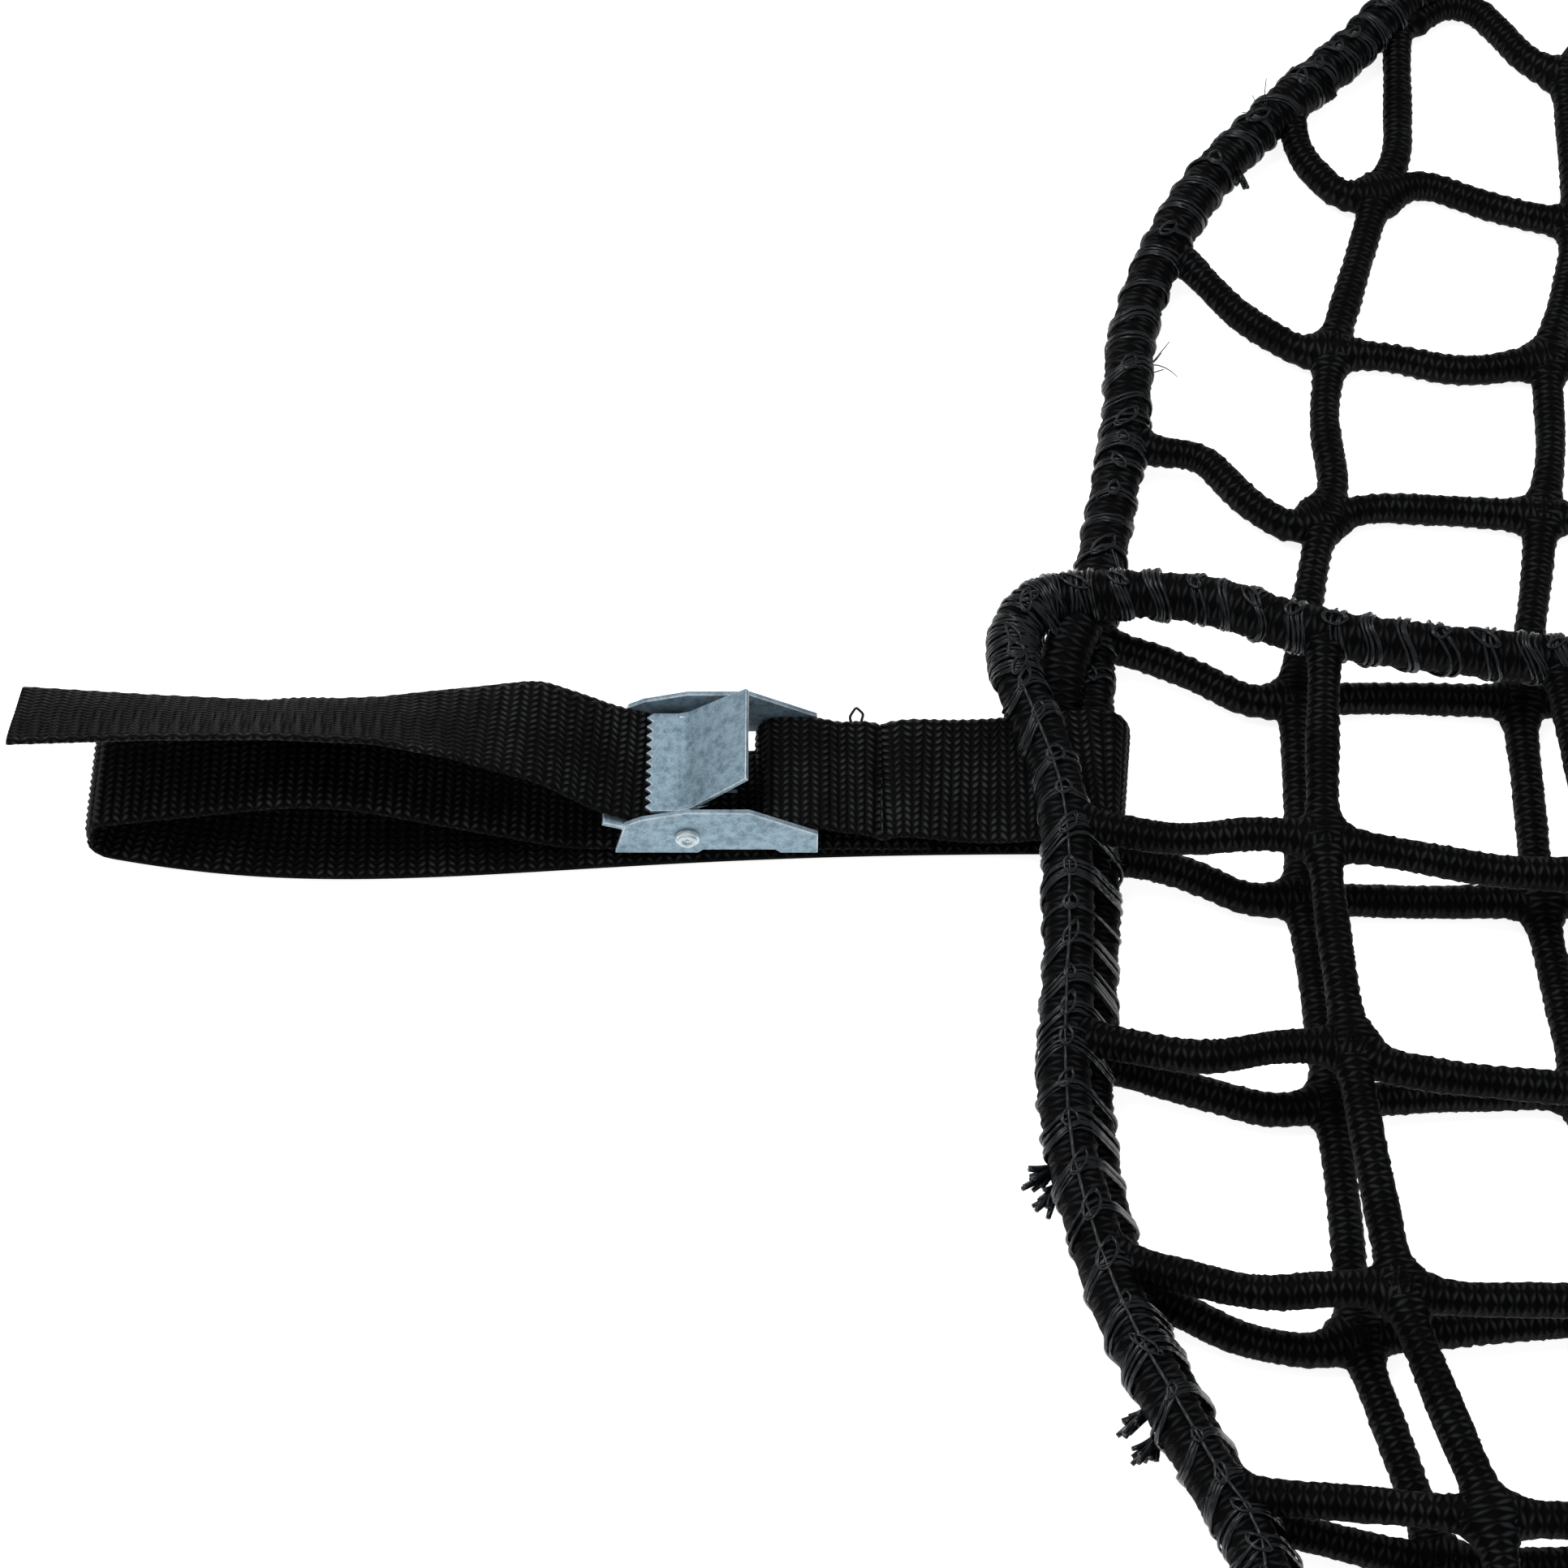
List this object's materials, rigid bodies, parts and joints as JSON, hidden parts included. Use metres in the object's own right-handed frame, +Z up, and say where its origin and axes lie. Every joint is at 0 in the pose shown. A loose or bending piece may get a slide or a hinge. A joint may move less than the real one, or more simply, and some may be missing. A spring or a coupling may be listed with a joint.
{
  "type": "cargo climbing net",
  "caption": "Knotless cord climbing net with a lashed border rope, folded back on itself, with webbing straps and cam buckles at its corners.",
  "frame": {"origin": "centre of the folded net's footprint, on the surface that it lies on", "axes": "+X to the right along the fold, +Y from the fold towards the far edge, +Z up"},
  "size_m": [0.999, 0.4856, 0.0276],
  "materials": {
    "net_cord": "braided polypropylene, satin",
    "border_rope": "braided polypropylene, satin",
    "lashing_twine": "waxed multifilament twine",
    "webbing": "woven polypropylene",
    "sewing_thread": "bonded thread",
    "zinc_plated_steel": "zinc plated, clear blue passivated",
    "spring_steel": "drawn wire"
  },
  "bodies": {
    "net": {"row_cords_lower": "net_cord", "row_cords_upper": "net_cord", "column_cords_lower": "net_cord", "column_cords_upper": "net_cord", "column_cords_fold": "net_cord", "border_rope_lower_left": "border_rope", "border_rope_lower_right": "border_rope", "border_rope_upper_left": "border_rope", "border_rope_upper_right": "border_rope", "border_rope_far": "border_rope", "border_rope_near": "border_rope", "border_rope_folds": "border_rope", "edge_lashing_lower": "lashing_twine", "edge_lashing_upper": "lashing_twine", "strap_near_left_webbing": "webbing", "strap_near_left_stitching": "sewing_thread", "strap_near_left_buckle_frame": "zinc_plated_steel", "strap_near_left_axle_rivet": "zinc_plated_steel", "strap_near_left_cam_spring": "spring_steel", "strap_near_right_webbing": "webbing", "strap_near_right_stitching": "sewing_thread", "strap_near_right_buckle_frame": "zinc_plated_steel", "strap_near_right_axle_rivet": "zinc_plated_steel", "strap_near_right_cam_spring": "spring_steel", "strap_far_left_webbing": "webbing", "strap_far_left_stitching": "sewing_thread", "strap_far_left_buckle_frame": "zinc_plated_steel", "strap_far_left_axle_rivet": "zinc_plated_steel", "strap_far_left_cam_spring": "spring_steel", "strap_far_right_webbing": "webbing", "strap_far_right_stitching": "sewing_thread", "strap_far_right_buckle_frame": "zinc_plated_steel", "strap_far_right_axle_rivet": "zinc_plated_steel", "strap_far_right_cam_spring": "spring_steel"},
    "cam_near_left": {"strap_near_left_cam_lever": "zinc_plated_steel"},
    "cam_near_right": {"strap_near_right_cam_lever": "zinc_plated_steel"},
    "cam_far_left": {"strap_far_left_cam_lever": "zinc_plated_steel"},
    "cam_far_right": {"strap_far_right_cam_lever": "zinc_plated_steel"}
  },
  "joints": [
    {"name": "cam_near_left", "type": "hinge", "parent": "net", "child": "cam_near_left", "pos_m": [-0.3781, -0.01297, 0.0089], "axis": [0, 1, 0], "range_deg": [0, 35], "stiffness_Nm_per_rad": 0.03, "springref_deg": -28.65},
    {"name": "cam_near_right", "type": "hinge", "parent": "net", "child": "cam_near_right", "pos_m": [0.3781, -0.01297, 0.0089], "axis": [0, -1, 0], "range_deg": [0, 35], "stiffness_Nm_per_rad": 0.03, "springref_deg": -28.65},
    {"name": "cam_far_left", "type": "hinge", "parent": "net", "child": "cam_far_left", "pos_m": [-0.29832, 0.21104, 0.0089], "axis": [0, 1, 0], "range_deg": [0, 35], "stiffness_Nm_per_rad": 0.03, "springref_deg": -28.65},
    {"name": "cam_far_right", "type": "hinge", "parent": "net", "child": "cam_far_right", "pos_m": [0.3781, 0.21104, 0.0089], "axis": [0, -1, 0], "range_deg": [0, 35], "stiffness_Nm_per_rad": 0.03, "springref_deg": -28.65}
  ]
}
